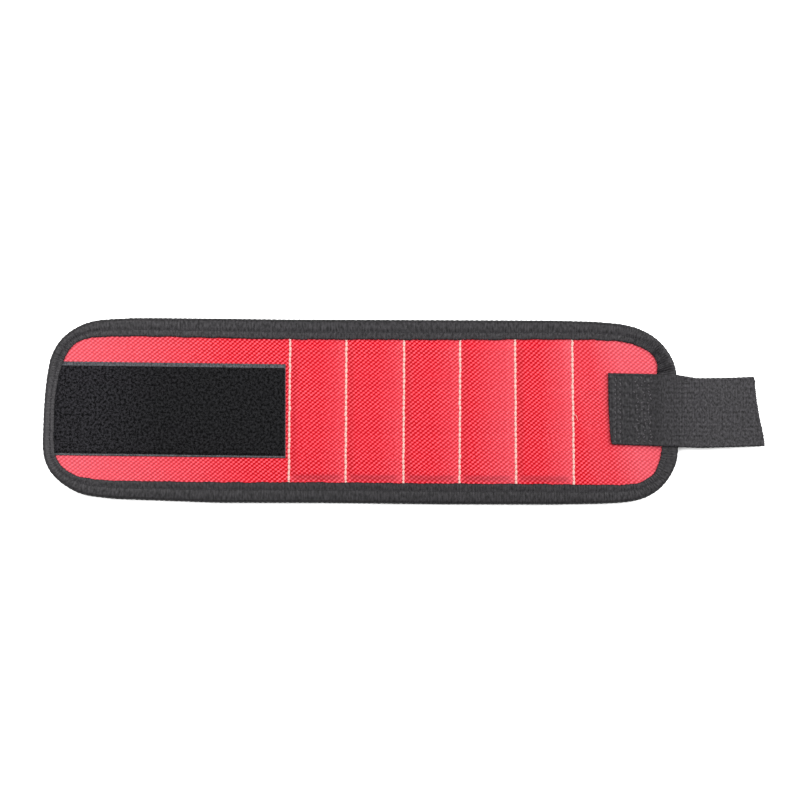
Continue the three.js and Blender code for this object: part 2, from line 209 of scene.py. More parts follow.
def layered_faces(cells, places):
    """Faces of a thin closed sheet between an upper and a lower grid of points, over the squares in cells."""
    rows, columns = cells.shape
    number = np.arange((rows + 1) * (columns + 1)).reshape(rows + 1, columns + 1)
    square = np.stack([number[:-1, :-1], number[:-1, 1:], number[1:, 1:], number[1:, :-1]], -1)
    inside = np.pad(cells, 1)
    upper = square[cells]
    quads = [upper, upper[:, ::-1] + number.size]
    missing = [inside[:-2, 1:-1], inside[1:-1, 2:], inside[2:, 1:-1], inside[1:-1, :-2]]
    for side in range(4):
        edge = square[cells & ~missing[side]][:, [side, (side + 1) % 4]]
        quads.append(np.concatenate([edge + number.size, edge[:, ::-1]], 1))
    faces = np.concatenate(quads)
    return faces, places.reshape(-1, 2)[faces % number.size]


def two_faces(x, y, top, bottom):
    """The points of a thin sheet: its upper face, and then its lower face."""
    return np.concatenate([np.stack([x, y, z + 0 * x], -1).reshape(-1, 3) for z in (top, bottom)])


def sheet_pieces(name, x, y, faces_z, held, places, material, layer, lines=range(9)):
    """A layer of the band as one thin sheet for each flex line, cut where one line's share ends."""
    points = two_faces(x, y, *faces_z)
    cells = held[:-1, :-1] & held[1:, :-1] & held[:-1, 1:] & held[1:, 1:]
    line_of = np.searchsorted(CUTS, (x[:-1, :-1] + x[1:, 1:]) / 2)
    pieces = []
    for line in lines:
        mine = cells & (line_of == line)
        faces, corner_places = layered_faces(mine, places)
        piece = make_piece(f"{name}_{line + 1}", points, [faces], [corner_places], material)
        pieces.append((fasten(piece, line, layer), mine))
    return pieces


def fasten(piece, line, layer=None):
    """Bakes a piece's place into its mesh and, given a layer, hides that layer's solids on the bodies at both
    sides of its flex line.
    """
    left, right, x, before, after = FLEX_LINES[line]
    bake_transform(piece)
    if layer:
        groups = frame["record"]["behaviour"]["bodies"]
        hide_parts(*[n for n in groups[left] + groups[right] if n.startswith(layer)])
    return piece


def thread_piece(name, paths, across, half_width, half_height, material, sides=6):
    """Closed round threads along paths, shaped (thread, step, 3). The half width lies along across, which
    is one direction for all threads or one for each."""
    count, steps, _ = paths.shape
    half_width = np.broadcast_to(half_width, (count, steps))
    half_height = np.broadcast_to(half_height, (count, steps))
    along = np.gradient(paths, axis=1)
    along /= np.linalg.norm(along, axis=2, keepdims=True)
    first = np.broadcast_to(np.reshape(across, (-1, 1, 3)), paths.shape)
    first = first - (first * along).sum(2, keepdims=True) * along
    first = first / np.linalg.norm(first, axis=2, keepdims=True)
    second = np.cross(along, first)
    turn = math.tau * np.arange(sides) / sides
    rings = (
        paths[:, :, None]
        + (half_width[..., None] * np.cos(turn))[..., None] * first[:, :, None]
        + (half_height[..., None] * np.sin(turn))[..., None] * second[:, :, None]
    )
    number = np.arange(count * steps * sides).reshape(count, steps, sides)
    beside = np.roll(number, -1, 2)
    tube = np.stack([number[:, :-1], beside[:, :-1], beside[:, 1:], number[:, 1:]], -1).reshape(-1, 4)
    caps = np.concatenate([number[:, 0, ::-1], number[:, -1]])
    run = np.cumsum(np.linalg.norm(np.diff(paths, axis=1), axis=2), 1)
    run = np.pad(run, ((0, 0), (1, 0))) + THREAD_SHIFT * np.arange(count)[:, None]
    girth = np.mean(half_width + half_height) * math.pi / sides
    here = np.broadcast_to(run[:, :, None], (count, steps, sides))
    turns = np.broadcast_to(np.arange(sides) * girth, here.shape)
    near, far = np.stack([here, turns], -1), np.stack([here, turns + girth], -1)
    tube_places = np.stack([near[:, :-1], far[:, :-1], far[:, 1:], near[:, 1:]], 3).reshape(-1, 4, 2)
    cap_places = np.concatenate([near[:, 0, ::-1], near[:, -1]])
    return make_piece(name, rings.reshape(-1, 3), [tube, caps], [tube_places, cap_places], material)


# The band's edge


def taper(share, full, power, least):
    """How thick a stitch is, from its middle at 0 to its ends at 1 and -1, where it dips into the cloth."""
    return np.sqrt(np.clip(full - np.abs(share) ** power, least, 1))


def run_along(line):
    """How far along a line, a list of flat places, each of its places lies."""
    return np.concatenate([[0], np.cumsum(np.hypot(*np.diff(line, axis=0).T))])


def band_edge():
    """The edge as evenly spaced places: x and y, binding width, inward direction, and the spacing."""
    fine = 0.25
    corners = np.array(BAND_EDGE + BAND_EDGE[:1])
    run = run_along(corners[:, :2])
    places = np.arange(0, run[-1], fine)
    line = np.stack([np.interp(places, run, corners[:, i]) for i in range(3)], 1)
    swings = np.fft.fftfreq(len(places), fine)
    held = np.exp(-2 * (math.pi * swings * EDGE_SMOOTHING) ** 2)[:, None]
    line = np.fft.ifft(np.fft.fft(line, axis=0) * held, axis=0).real
    line = np.concatenate([line, line[:1]])
    run = run_along(line[:, :2])
    count = int(round(run[-1] / RIB_PITCH)) * RIB_STEPS
    places = np.arange(count) * run[-1] / count
    line = np.stack([np.interp(places, run, line[:, i]) for i in range(3)], 1)
    along = np.roll(line[:, :2], -1, 0) - np.roll(line[:, :2], 1, 0)
    along /= np.linalg.norm(along, axis=1, keepdims=True)
    inward = np.stack([along[:, 1], -along[:, 0]], 1)
    return line[:, :2], line[:, 2], inward, run[-1] / count


edge, edge_width, edge_inward, edge_step = band_edge()


def from_edge(x, y):
    """How far places lie inside the band's edge, and how wide the binding is there."""
    shape, x, y = x.shape, x.ravel(), y.ravel()
    near = edge[::RIB_STEPS].astype(np.float32)
    found = np.empty(len(x), int)
    for start in range(0, len(x), 20000):
        part = slice(start, start + 20000)
        gap_x = x[part, None].astype(np.float32) - near[:, 0]
        gap_y = y[part, None].astype(np.float32) - near[:, 1]
        found[part] = np.argmin(gap_x * gap_x + gap_y * gap_y, 1) * RIB_STEPS
    depth = (x - edge[found, 0]) * edge_inward[found, 0] + (y - edge[found, 1]) * edge_inward[found, 1]
    return depth.reshape(shape), edge_width[found].reshape(shape)


def seam_x(seam, y):
    top, bottom = SEAMS[seam]
    return bottom + (top - bottom) * (y + SEAM_HALF_LENGTH) / (2 * SEAM_HALF_LENGTH)


def from_seam(x, y):
    """The distance to the nearest seam, and whether the place lies between the first and the last seam."""
    lines = np.stack([seam_x(seam, y) for seam in range(len(SEAMS))])
    return np.abs(x - lines).min(0), (x > lines[0]) & (x < lines[-1])


# Colours and materials


def linear(code):
    """An sRGB hex colour as the linear red, green, blue and alpha of a shader."""
    parts = [int(code[i : i + 2], 16) / 255 for i in (1, 3, 5)]
    return [p / 12.92 if p <= 0.04045 else ((p + 0.055) / 1.055) ** 2.4 for p in parts] + [1.0]


# The nodes in use: kind, settings, the sockets that take the inputs in order, and the output
NODES = {
    "threads": ("UVMap", {"uv_map": THREAD_MAP}, [], "UV"),
    "object": ("TexCoord", {}, [], "Object"),
    "seen": ("LightPath", {}, [], "Is Camera Ray"),
    "distance": ("VectorMath", {"operation": "DOT_PRODUCT"}, [0, 1], "Value"),
    "stretch": ("VectorMath", {"operation": "MULTIPLY"}, [0, 1], "Vector"),
    "noise": ("TexNoise", {"noise_dimensions": "2D"}, ["Vector", "Scale", "Detail"], 0),
    "grain": ("TexNoise", {}, ["Vector", "Scale", "Detail"], 0),
    "range": ("MapRange", {}, [0, 1, 2, 3, 4], 0),
    "clamp": ("Clamp", {}, [0, 1, 2], 0),
    "blend": ("Mix", {"data_type": "RGBA"}, [0, 6, 7], 2),
    "relief": ("Bump", {}, ["Strength", "Distance", "Height"], 0),
    "shader": (
        "BsdfPrincipled", {}, ["Base Color", "Roughness", "Specular IOR Level", "Normal", "Metallic"], 0
    ),
    "surface": ("OutputMaterial", {}, ["Surface"], None),
    "sky": ("Background", {}, ["Color", "Strength"], 0),
    "world": ("OutputWorld", {}, ["Surface"], None),
}
# The arithmetic nodes and their operations
SUMS = {"sum": "ADD", "times": "MULTIPLY", "times_plus": "MULTIPLY_ADD", "cosine": "COSINE"}
SUMS |= {"fraction": "FRACT", "size": "ABSOLUTE"}
NODES |= {name: ("Math", {"operation": operation}, [0, 1, 2], 0) for name, operation in SUMS.items()}


def add(tree, name, *inputs):
    """Adds one of NODES. An input is a value, a hex colour, None, or the output that links to it."""
    kind, settings, sockets, output = NODES[name]
    node = tree.nodes.new("ShaderNode" + kind)
    for setting, value in settings.items():
        setattr(node, setting, value)
    for socket, value in zip(sockets, inputs):
        if isinstance(value, bpy.types.NodeSocket):
            tree.links.new(value, node.inputs[socket])
        elif value is not None:
            node.inputs[socket].default_value = linear(value) if isinstance(value, str) else value
    return None if output is None else node.outputs[output]


def new_material(name, places="threads"):
    """An empty material and its patterns' places: those of the threads in millimetres, or the object's."""
    material = bpy.data.materials.new(name)
    material.use_nodes = True
    tree = material.node_tree
    tree.nodes.clear()
    return material, tree, add(tree, places)


def finished(material, colour, roughness, shine=0.5, relief=None, strength=0.5, depth=0.06, metal=0.0):
    """Gives a material its surface. The relief is for what is finer than the mesh, depth in millimetres."""
    tree = material.node_tree
    normal = add(tree, "relief", strength, depth * MM, relief) if relief else None
    add(tree, "surface", add(tree, "shader", colour, roughness, shine, normal, metal))
    return material


def wave(tree, place, along, across=None):
    """A cosine over the threads, whose periods along and across are in millimetres."""
    step = (math.tau / along, math.tau / across if across else 0.0, 0.0)
    return add(tree, "cosine", add(tree, "distance", place, step))


def shaded(tree, height, low, high, dark, light):
    """A colour that goes from dark to light as the height goes from low to high."""
    return add(tree, "blend", add(tree, "range", height, low, high), dark, light)


def ramps(tree, place, *slopes):
    """The sum of slopes over a place. Each goes from 0 at its start to its strength at its end."""
    total = 0.0
    for start, end, strength in slopes:
        total = add(tree, "sum", add(tree, "range", place, start, end, 0.0, strength), total)
    return total


def pocket_painted_light(tree, place):
    """Painted sheen that grows from the middle of each pocket to its seam on the strap's side, where the
    pocket's flank faces the side light, most of all in the last two. The pockets' rim beside the lower
    binding is painted paler too, as painted light over the shade of its slope."""
    first, last = sum(SEAMS[0]) / 2, sum(SEAMS[-1]) / 2
    pitch = (last - first) / (len(SEAMS) - 1)
    x = add(tree, "distance", place, (1.0, CLOTH_SKEW, 0.0))
    # painted light on the pockets' rim beside the lower binding
    in_pockets = ramps(tree, x, (first - 1, first + 1, RIM_PAINTED_LIGHT), (last - 1, last + 1, -RIM_PAINTED_LIGHT))
    from_rim = add(tree, "size", add(tree, "sum", add(tree, "distance", place, ACROSS), -RIM_Y))
    rim = add(tree, "range", from_rim, 0.9, 2.2, in_pockets, 0.0)
    # painted sheen towards each pocket's seam on the strap's side
    x = add(tree, "clamp", x, first + 0.1, last + 0.1)
    share = add(tree, "fraction", add(tree, "times_plus", x, 1 / pitch, -first / pitch))
    start = add(tree, "range", x, 26.5, 27.5, 0.55, 0.22)
    start = add(tree, "sum", start, add(tree, "range", x, 54.0, 55.0, 0.0, 0.2))
    strength = add(tree, "range", x, 26.5, 27.5, 0.065, 0.13)
    return add(tree, "sum", add(tree, "range", share, start, 0.97, 0.0, strength), rim)


def ribbed_yarn(tree, place, ribs, specks, mottle, tints):
    """Ribs across a tape, broken into specks: their colour, their relief, and how uneven the yarn is.
    ribs: pitch, share of the shade and of the relief. specks: pitch, how far they are drawn out, and
    share. mottle: pitch and share."""
    rib = wave(tree, place, ribs[0])
    speck = add(tree, "noise", add(tree, "stretch", place, (1.0, specks[1], 1.0)), 1 / specks[0], 2.0)
    uneven = add(tree, "noise", place, 1 / mottle[0], 3.0)
    height = add(tree, "times_plus", rib, ribs[1], add(tree, "times", speck, specks[2]))
    height = add(tree, "times_plus", uneven, mottle[1], height)
    relief = add(tree, "times_plus", rib, ribs[2], add(tree, "times", speck, 1.5))
    return shaded(tree, height, 0.75, 1.45, *tints), relief, uneven


def woven_ballistic_polyester():
    # Heavy polyester woven in slanting ribs. The weave's pattern is drawn in its colour, and its light and
    # shade with it: a painted pink highlight on each crossing thread, and painted deep red shade in the
    # hollows between the ribs. Both ends of the band and the strap's side of each pocket get a paler painted
    # sheen, and the pockets' lower rim is painted paler over the shade of its slope. The filaments are too
    # fine to show, so they are drawn 0.26 mm apart, as shallow relief.
    material, tree, place = new_material("woven_ballistic_polyester")
    ribs = wave(tree, place, 2 * CLOTH_PITCH_X, -2 * CLOTH_PITCH_Y)
    crossings = wave(tree, place, 2 * CLOTH_PITCH_X, 2 * CLOTH_PITCH_Y)
    lift = add(tree, "times_plus", ribs, RIB_SHARE, add(tree, "times", crossings, -CROSS_SHARE))
    height = add(tree, "times_plus", add(tree, "noise", place, 1 / 1.3, 2.0), 0.9, lift)
    share = add(tree, "range", height, -0.08, 1.0)
    # painted highlight on the crossing threads, painted shade in the hollows
    body = shaded(tree, share, 0.5, 1.0, shaded(tree, share, 0.0, 0.5, "#B8000A", "#E01528"), "#FF6070")
    cloudy = add(tree, "range", add(tree, "noise", place, 1 / 22.0, 1.0), 0.35, 0.7, 0.0, 0.2)
    even = add(tree, "blend", cloudy, body, "#E01E31")
    x = add(tree, "distance", place, ALONG)
    # painted sheen at both ends of the band, added to the painted light on the pockets
    painted_light = ramps(tree, x, (-80.0, -165.0, 0.22), (96.0, 110.0, 0.15), (82.0, 88.0, 0.05))
    painted_light = add(tree, "sum", painted_light, pocket_painted_light(tree, place))
    colour = add(tree, "blend", painted_light, even, "#FF9CAC")
    relief = add(tree, "times_plus", wave(tree, place, 0.26), 0.12, lift)
    return finished(material, colour, add(tree, "range", share, 0.0, 1.0, 0.5, 0.4), 0.12, relief, 0.55)


def woven_polyester_binding():
    # Narrow polyester tape with fine ribs across it: charcoal, mottled where the yarn is uneven. Painted
    # shade darkens it along its inner edge, its fold and the band's lower edge, and painted light makes it
    # paler grey round the loop end.
    material, tree, place = new_material("woven_polyester_binding")
    ribs, specks, mottle = (RIB_PITCH, 0.05, 0.2), (0.75, 0.7, 1.0), (1.2, 1.2)
    charcoal, relief, uneven = ribbed_yarn(tree, place, ribs, specks, mottle, ("#121113", "#3F3D40"))
    run, girth = add(tree, "distance", place, ALONG), add(tree, "distance", place, ACROSS)
    length = len(edge) * edge_step
    # painted shade along the band's lower edge
    below = ramps(tree, run, (430.0, 460.0, 0.2), (length - 75, length - 45, -0.2))
    lower = add(tree, "blend", below, charcoal, "#121113")
    # painted light round the loop end
    at_end = ramps(tree, run, (38.0, 14.0, 0.4), (length - 34, length - 12, 0.4))
    painted_light = add(tree, "blend", at_end, lower, "#4E4C4F")
    # painted shade along the tape's inner edge and its fold
    from_fold = add(tree, "size", add(tree, "sum", girth, -BINDING_FOLD_GIRTH))
    painted_edge_shade = add(tree, "range", girth, 0.35, 0.95, 0.7, 0.0)
    painted_edge_shade = add(tree, "sum", painted_edge_shade, add(tree, "range", from_fold, 0.2, 1.3, 0.55, 0.0))
    colour = add(tree, "blend", painted_edge_shade, painted_light, "#0C0B0D")
    return finished(material, colour, add(tree, "range", uneven, 0.3, 0.7, 0.6, 0.48), 0.3, relief)


def brushed_nylon_loop():
    # Knitted nylon brushed into a mat of fine loops: near black, with a faint grey bloom on the tips, which
    # is painted paler towards the loop end as painted reflection.
    material, tree, place = new_material("brushed_nylon_loop")
    clumps = add(tree, "noise", place, 1 / 1.2, 3.0)
    height = add(tree, "times_plus", add(tree, "noise", place, 1 / 0.5, 1.0), 0.6, clumps)
    # painted reflection on the tips towards the loop end
    painted_reflection = add(tree, "range", add(tree, "distance", place, ALONG), -118.0, -150.0)
    tip = add(tree, "blend", painted_reflection, "#28282A", "#343337")
    colour = shaded(tree, height, 0.63, 1.0, "#030304", tip)
    return finished(material, colour, 0.8, 0.08, height, 0.6, 0.15)


def woven_nylon_tape(name, dark, light, rib, sewn_shade):
    # Narrow woven nylon: fine ribs across the tape, broken into specks, with a dry soft shine. The strap is
    # painted darker towards its sewn end, as painted shade.
    material, tree, place = new_material(name)
    ribs, specks, mottle = (rib, 0.02, 0.15), (0.7, 0.6, 1.2), (1.4, 1.0)
    even, relief, uneven = ribbed_yarn(tree, place, ribs, specks, mottle, (dark, light))
    # painted shade towards the strap's sewn end
    sewn = add(tree, "range", add(tree, "distance", place, ALONG), 140.0, 120.0, 0.0, sewn_shade)
    colour = add(tree, "blend", sewn, even, dark)
    return finished(material, colour, add(tree, "range", uneven, 0.3, 0.7, 0.6, 0.45), 0.3, relief)


def twisted_polyester_thread(name, dark, light, shine):
    # Two-ply sewing thread: the twist shows as slanting light and dark plies.
    material, tree, place = new_material(name)
    plies = wave(tree, place, 0.8, 0.9)
    height = add(tree, "times_plus", plies, 0.25, add(tree, "noise", place, 1 / 0.3, 2.0))
    return finished(material, shaded(tree, height, 0.0, 0.8, dark, light), 0.55, shine, plies, 0.5, 0.05)


def knitted_spacer_mesh():
    # Warp-knitted polyester: black wales between open holes, matt and slightly dusty on the ridges.
    material, tree, place = new_material("knitted_spacer_mesh")
    wales, courses = wave(tree, place, 0.9), wave(tree, place, 0.45, 0.7)
    dust = add(tree, "times", add(tree, "noise", place, 1 / 2.5, 3.0), 1.5)
    height = add(tree, "times_plus", wales, 0.3, add(tree, "times_plus", courses, 0.3, dust))
    colour = shaded(tree, height, 0.1, 1.4, "#141416", "#3A3A3D")
    relief = add(tree, "times_plus", wales, 0.6, add(tree, "times", courses, 0.4))
    return finished(material, colour, 0.85, 0.2, relief, 0.6, 0.1)


def drawn_nylon_hooks():
    # Bristles of drawn nylon, bent into hooks: dark and a little glossy.
    material, tree, place = new_material("drawn_nylon_hooks")
    shade = add(tree, "noise", place, 1 / 1.7, 2.0)
    colour = shaded(tree, shade, 0.35, 0.65, "#1A1A1C", "#3B3A3D")
    return finished(material, colour, add(tree, "range", shade, 0.3, 0.7, 0.45, 0.3), 0.45)


def nickel_plated_neodymium():
    # Sintered magnet under a tumbled nickel plate: a pale, slightly warm metal with a satin haze.
    material, tree, place = new_material("nickel_plated_neodymium", "object")
    haze = add(tree, "grain", place, 900.0, 3.0)
    colour = shaded(tree, add(tree, "grain", place, 250.0, 5.0), 0.35, 0.7, "#C9C5BC", "#A9A59C")
    roughness = add(tree, "range", haze, 0.3, 0.7, 0.22, 0.38)
    return finished(material, colour, roughness, 0.5, haze, 0.2, 0.03, 1.0)


cloth_finish = woven_ballistic_polyester()
binding_finish = woven_polyester_binding()
pile_finish = brushed_nylon_loop()
selvedge_finish = woven_nylon_tape("woven_nylon_selvedge", "#27282B", "#5F6267", 0.9, 0.0)
strap_finish = woven_nylon_tape("woven_nylon_strap", "#100F11", "#434145", STRAP_RIB, 0.4)
seam_finish = twisted_polyester_thread("twisted_polyester_cream_thread", "#DC9C92", "#FCD6CC", 0.3)
dark_thread_finish = twisted_polyester_thread("twisted_polyester_black_thread", "#121113", "#343236", 0.35)
strap_thread_finish = twisted_polyester_thread("twisted_polyester_grey_thread", "#1A191B", "#5C595D", 0.35)
lining_finish = knitted_spacer_mesh()
hook_finish = drawn_nylon_hooks()
magnet_finish = nickel_plated_neodymium()


# Camera, light and floor


def set_camera():
    """Straight above, as in the photograph. 800 pixels show 387.8 mm at the height of the cloth."""
    data = bpy.data.cameras.new("camera")
    data.lens, data.sensor_width = 100.0, 36.0
    data.clip_start, data.clip_end = 0.01, 10.0
    camera = bpy.data.objects.new("camera", data)
    camera.location = (-1.7 * MM, 5.33 * MM, 1.0802)
    bpy.context.scene.collection.objects.link(camera)
    bpy.context.scene.camera = camera


def set_light(name, place, size, power):
    data = bpy.data.lights.new(name, "AREA")
    data.shape, data.size, data.energy = "DISK", size, power
    light = bpy.data.objects.new(name, data)
    light.location = place
    light.rotation_mode = "QUATERNION"
    light.rotation_quaternion = light.location.to_track_quat("Z", "Y")
    light.visible_camera = False
    bpy.context.scene.collection.objects.link(light)


def floor_rings():
    """The floor's opening, which the band covers at rest and can bend down through, and its outer rim."""
    turn = np.linspace(-math.pi, math.pi, 720, endpoint=False)
    rim = edge + FLOOR_INSET * edge_inward
    run = np.arctan2(rim[:, 1], rim[:, 0])
    order = np.argsort(run)
    reach = np.interp(turn, run[order], np.hypot(*rim[order].T), period=math.tau)
    ring = np.stack([np.cos(turn), np.sin(turn), 0 * turn], 1)
    return ring * reach[:, None] * MM, ring * 3.0


def set_stage():
    """White paper that only catches the soft shadows, under a white studio sky."""
    world = bpy.data.worlds.new("white_studio")
    world.use_nodes = True
    sky = world.node_tree
    sky.nodes.clear()
    strength = add(sky, "times_plus", add(sky, "seen"), PAPER - SKY, SKY)
    add(sky, "world", add(sky, "sky", "#FFFFFF", strength))
    bpy.context.scene.world = world
    bpy.context.scene.view_settings.view_transform = "Standard"
    set_light("side_light", (0.75, 0.38, 0.6), 0.8, 7.0)
    set_light("left_light", (-0.28, 0.11, 0.36), 0.4, 1.36)
    set_light("right_light", (0.24, 0.11, 0.45), 0.4, 0.68)

    mesh = bpy.data.meshes.new("floor")
    inner, outer = floor_rings()
    count = len(inner)
    after = np.roll(np.arange(count), -1)
    quads = np.stack([np.arange(count), np.arange(count) + count, after + count, after], 1)
    mesh.from_pydata(np.concatenate([inner, outer]).tolist(), [], quads.tolist())
    material, tree, place = new_material("matt_white_paper", "object")
    colour = add(tree, "blend", add(tree, "grain", place, 60.0, 2.0), "#F4F4F4", "#FBFBFB")
    mesh.materials.append(finished(material, colour, 0.9))
    floor = bpy.data.objects.new("floor", mesh)
    floor.location = (0, 0, -0.05 * MM)
    floor.is_shadow_catcher = True
    bpy.context.scene.collection.objects.link(floor)


set_camera()
set_stage()


# Face cloth


def pocket_height(x, y, depth, width):
    """How high the cloth stands over its seams, where it covers a row of magnets."""
    gap, in_pockets = from_seam(x, y)
    side = ease(gap / POCKET_SHOULDER)
    end = ease((depth - width - 0.3) / POCKET_SHOULDER)
    sag = sum(np.exp(-(((y - row) / 2.6) ** 2)) for row in (-11.0, 11.0))
    dome = np.clip(gap / 13.6, 0, 1) * end
    rise = side * end * (POCKET_RISE - 0.16 * sag) + POCKET_DOME * np.sin(dome * math.pi / 2)
    return np.where(in_pockets, rise, 0.0)


def cloth_height(x, y, depth, width):
    """The cloth's face without its weave: pockets, puckers at the stitches and soft wrinkles."""
    gap, _ = from_seam(x, y)
    open_share = ease((depth - width - 0.4) / 3.0)
    under_pad = ease((PAD_RIGHT + 1.5 - x) / 1.5) * ease((PAD_HALF_WIDTH + 1.8 - np.abs(y)) / 1.5)
    under_strap = ease((x - 98.5) / 1.5) * ease((19.0 - np.abs(y)) / 1.5)
    free = open_share * (1 - under_pad) * (1 - under_strap)
    height = CLOTH_TOP + pocket_height(x, y, depth, width)
    height = height + free * (0.10 * ripple(x, y, 13.0, 3) + 0.05 * ripple(x, y, 5.0, 4))
    tugs = np.cos(math.tau * y / SEAM_STITCH)
    height = height - open_share * np.exp(-((gap / 0.9) ** 2)) * (0.12 + 0.08 * tugs)
    height = height + free * 0.05 * np.exp(-gap / 2.2) * ripple(x * 0.35, y, 1.9, 5)
    return height


def make_face_cloth():
    """One sheet from end to end, on a grid whose places are its own thread crossings."""
    half_x, half_y = CLOTH_PITCH_X / 2, CLOTH_PITCH_Y / 2
    warp, weft = np.meshgrid(np.arange(*CLOTH_COLUMNS) * half_x, np.arange(*CLOTH_ROWS) * half_y)
    x = warp + (CLOTH_SKEW + CLOTH_SKEW_GAIN * warp) * weft + 0.30 * ripple(warp, weft, 34.0, 11)
    y = weft + 0.30 * ripple(warp, weft, 38.0, 12)
    depth, width = from_edge(x, y)
    height = cloth_height(x, y, depth, width)
    ribs = np.cos(math.pi * (warp / CLOTH_PITCH_X - weft / CLOTH_PITCH_Y))
    crossings = np.cos(math.pi * (warp / CLOTH_PITCH_X + weft / CLOTH_PITCH_Y))
    weave = WEAVE_HEIGHT * (RIB_SHARE * ribs - CROSS_SHARE * crossings)
    faces_z = height + weave, height - CLOTH_THICKNESS
    places, name = np.stack([warp, weft], -1), "face_cloth"
    pieces = sheet_pieces(name, x, y, faces_z, depth > 2.2, places, cloth_finish, name)


# Lining


def make_lining():
    """The breathable sheet on the skin side: full of round holes, thinner under the binding."""
    x, y = np.meshgrid(np.arange(*LINING_COLUMNS) * LINING_STEP, np.arange(*LINING_ROWS) * LINING_STEP)
    depth, width = from_edge(x, y)
    gap, _ = from_seam(x, y)
    in_window = ease((depth - width - 0.2) / 2.2)
    row = np.round(y / HOLE_PITCH_Y)
    across = np.abs(y - row * HOLE_PITCH_Y)
    along = np.abs((x + HOLE_PITCH_X / 2 * (row % 2)) % HOLE_PITCH_X - HOLE_PITCH_X / 2)
    hole = ease((HOLE_RADIUS - np.hypot(along, across)) / 0.8)
    bottom = 0.80 - 0.74 * in_window + 0.5 * hole * in_window * ease((gap - 1.0) / 1.0)
    bottom = bottom + 0.42 * np.exp(-((gap / 1.3) ** 2)) * in_window
    bottom = bottom + 0.04 * in_window * ripple(x, y, 12.0, 21)
    top = 1.66 - 0.25 * np.exp(-((gap / 1.3) ** 2))
    seams = np.array(SEAMS).mean(1)
    middles = (seams[:-1] + seams[1:]) / 2
    from_magnet = np.min([np.hypot(x - mx, y - my) for mx in middles for my in MAGNET_ROWS_Y], axis=0)
    top = top - 0.52 * ease((10.6 - from_magnet) / 0.9)
    faces_z = top, np.minimum(bottom, top - 0.25)
    places, name = np.stack([x, y], -1), "lining"
    for piece, mine in sheet_pieces(name, x, y, faces_z, depth > 1.3, places, lining_finish, name):
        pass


# Binding


def binding_section(width, lift, press, tug, pull):
    """The folded tape's outline for each place on the edge: how far in, and how high. It runs over the
    outer face, from the upper edge round the fold to the lower edge, and back along the inner face."""
    stitch = width * STITCH_LINE
    puff = 0.2 * (1 - press)
    top = []
    for share, height in ((1.0, 2.66), (0.997, 3.0), (0.965, 3.19), (0.90, 3.26), (0.80, 3.27), (0.71, 3.22)):
        top.append((width * share, height + lift))
    top.append((stitch + 0.45, 3.18 - 0.06 * pull + 0.6 * lift))
    top.append((stitch, 3.17 - 0.15 * pull + 0.07 * tug + 0.6 * lift))
    top.append((stitch - 0.45, 3.18 - 0.06 * pull + 0.6 * lift))
    for share, swell in ((0.84, 0.55), (0.62, 0.95), (0.42, 1.0), (0.26, 0.8)):
        fade = np.clip((share - 0.2) / 0.8, 0, 1)
        inset = BINDING_FOLD + (stitch - BINDING_FOLD) * (share - 0.2) / 0.8
        top.append((inset, BINDING_TOP + puff * swell + lift * fade * 0.5))
    fold = []
    for turn in np.linspace(0.44, -0.5, 8) * math.pi:
        inset = BINDING_FOLD * (1 - math.cos(turn) * 0.98)
        fold.append((inset, 1.62 + 1.66 * math.sin(turn) + 0.15 * puff * math.sin(turn)))
    low = [(stitch * share, -0.02) for share in (0.35, 0.6, 0.85)]
    low += [(stitch - 0.45, 0.06), (stitch, 0.2), (stitch + 0.45, 0.06)]
    for share, height in ((0.78, -0.01), (0.90, 0.0), (0.965, 0.05), (1.0, 0.3), (0.998, 0.62)):
        low.append((width * share, height))
    inner = [(width * 0.97, 0.72), (width * 0.5, 0.70), (1.6, 0.72), (0.9, 1.1), (0.9, 2.1), (1.6, 2.46)]
    inner += [(width * 0.5, 2.5 + 0.5 * lift), (width * 0.97, 2.52 + lift)]
    outline = top + fold + low + inner
    return [np.stack([place[axis] + 0 * width for place in outline], 1) for axis in (0, 1)]


